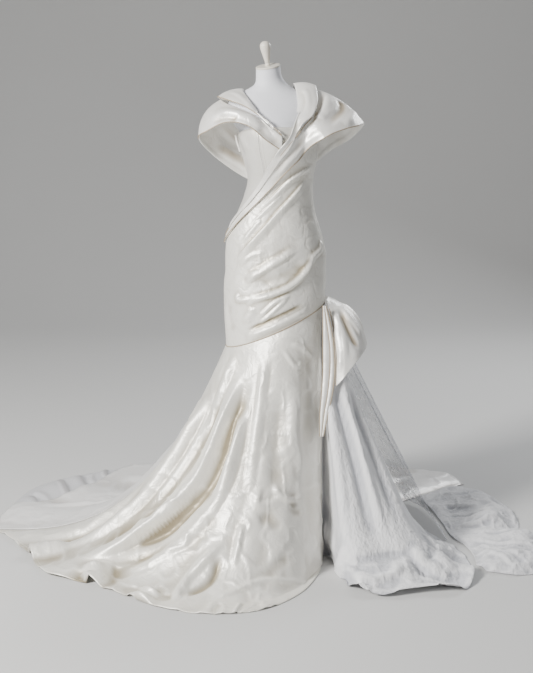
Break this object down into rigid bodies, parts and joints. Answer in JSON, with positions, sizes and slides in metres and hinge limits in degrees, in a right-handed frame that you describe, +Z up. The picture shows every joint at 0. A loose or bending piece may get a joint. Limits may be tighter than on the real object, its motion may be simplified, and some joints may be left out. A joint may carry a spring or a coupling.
{
  "type": "satin wedding dress on a limbless dress form",
  "caption": "Mermaid wedding dress in draped ivory satin with a crossed portrait collar, a hip fan, tulle godet and spread train, standing on a limbless dress form.",
  "frame": {"origin": "middle of the underside of the dress form's round base, on the floor", "axes": "+Z up; the dress faces -Y; +X is the viewer's right, the side of the hip fan and the tulle"},
  "size_m": [1.954, 1.4133, 1.6899],
  "materials": {
    "ivory satin": "heavy ivory satin, soft sheen",
    "organza": "cool grey-white organza, slight sheen",
    "tulle": "soft white tulle in layers, see-through at the edges",
    "form jersey": "smooth white jersey over a hard form, matte",
    "turned ivory": "turned ivory cap and finial, soft gloss",
    "painted metal": "grey painted steel, satin"
  },
  "bodies": {
    "root": {"bodice_front": "ivory satin", "bodice_side_left": "ivory satin", "bodice_side_right": "ivory satin", "bodice_back_right": "ivory satin", "bodice_back_left": "ivory satin", "collar_left": "ivory satin", "collar_left_inner": "ivory satin", "collar_right": "ivory satin", "collar_right_inner": "ivory satin", "drape_front": "ivory satin", "drape_back": "ivory satin", "skirt_front": "ivory satin", "skirt_back": "ivory satin", "hip_fan": "ivory satin", "sash_pleat_left": "ivory satin", "sash_pleat_right": "ivory satin", "hanger_loop": "ivory satin", "underskirt_train": "organza", "tulle_underskirt": "tulle", "tulle_overlay": "tulle", "tulle_train": "tulle", "form_torso": "form jersey", "form_neck_cap": "turned ivory", "form_finial": "turned ivory", "form_pole": "painted metal", "form_base": "painted metal"}
  },
  "joints": []
}
